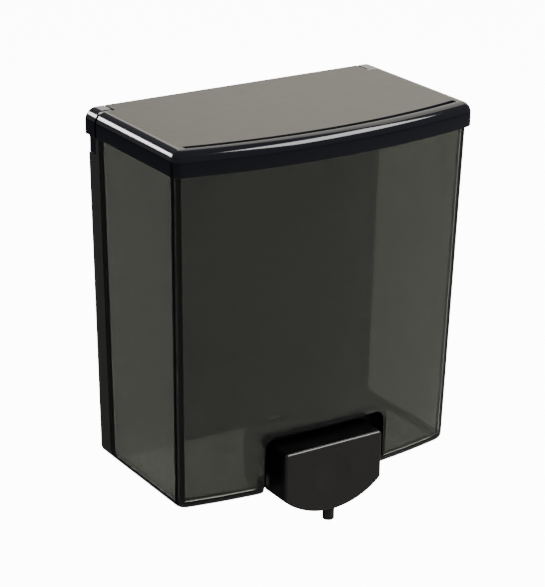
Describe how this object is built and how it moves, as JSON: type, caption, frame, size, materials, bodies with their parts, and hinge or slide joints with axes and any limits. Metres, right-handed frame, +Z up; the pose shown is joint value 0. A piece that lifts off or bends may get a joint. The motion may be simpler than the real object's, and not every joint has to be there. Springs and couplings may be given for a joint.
{
  "type": "wall mounted soap dispenser",
  "caption": "Wall-mounted liquid soap dispenser with a smoke-grey translucent tank, a hinged black lid and a push-button valve with a spout below.",
  "frame": {"origin": "centre of the rear face that lies on the wall", "axes": "+Z up, +Y into the wall, so the front with the button faces -Y; +X to the right seen from the front"},
  "size_m": [0.146, 0.0825, 0.1746],
  "materials": {
    "smoke_plastic": "smoke-grey translucent, glossy",
    "gloss_black": "glossy black",
    "button_black": "satin black",
    "satin_black": "satin black",
    "zinc_plate": "zinc-plated sheet",
    "screw_steel": "bright",
    "spring_steel": "bright drawn wire",
    "valve_plastic": "natural white, moulded",
    "seal_rubber": "matt black"
  },
  "bodies": {
    "dispenser": {"wall_plate": "zinc_plate", "rear_housing": "satin_black", "hinge_ear_left": "gloss_black", "hinge_ear_right": "gloss_black", "ear_screw_left": "screw_steel", "ear_screw_right": "screw_steel", "hinge_pin_left": "screw_steel", "hinge_pin_right": "screw_steel", "container": "smoke_plastic", "catch_strip": "spring_steel", "valve_housing": "satin_black", "valve_cylinder": "valve_plastic", "valve_gasket": "seal_rubber", "valve_nut": "valve_plastic", "inlet_cage": "valve_plastic", "return_spring": "spring_steel"},
    "lid": {"lid": "gloss_black", "lid_tongue": "satin_black"},
    "plunger": {"push_button": "button_black", "spout": "gloss_black", "spout_duckbill": "seal_rubber", "piston": "valve_plastic", "piston_seal": "seal_rubber"},
    "inlet_valve": {"inlet_ball": "screw_steel"}
  },
  "joints": [
    {"name": "lid_hinge", "type": "hinge", "parent": "dispenser", "child": "lid", "pos_m": [0, -0.005, 0.0763], "axis": [-1, 0, 0], "range_deg": [0, 88]},
    {"name": "button_slide", "type": "slide", "parent": "dispenser", "child": "plunger", "axis": [0, 1, 0], "range_m": [0, 0.0068], "stiffness_N_per_m": 700, "springref_m": -0.002, "deforming": ["return_spring"]},
    {"name": "inlet_ball_slide", "type": "slide", "parent": "dispenser", "child": "inlet_valve", "axis": [0, -1, 0], "range_m": [0, 0.0022]}
  ]
}
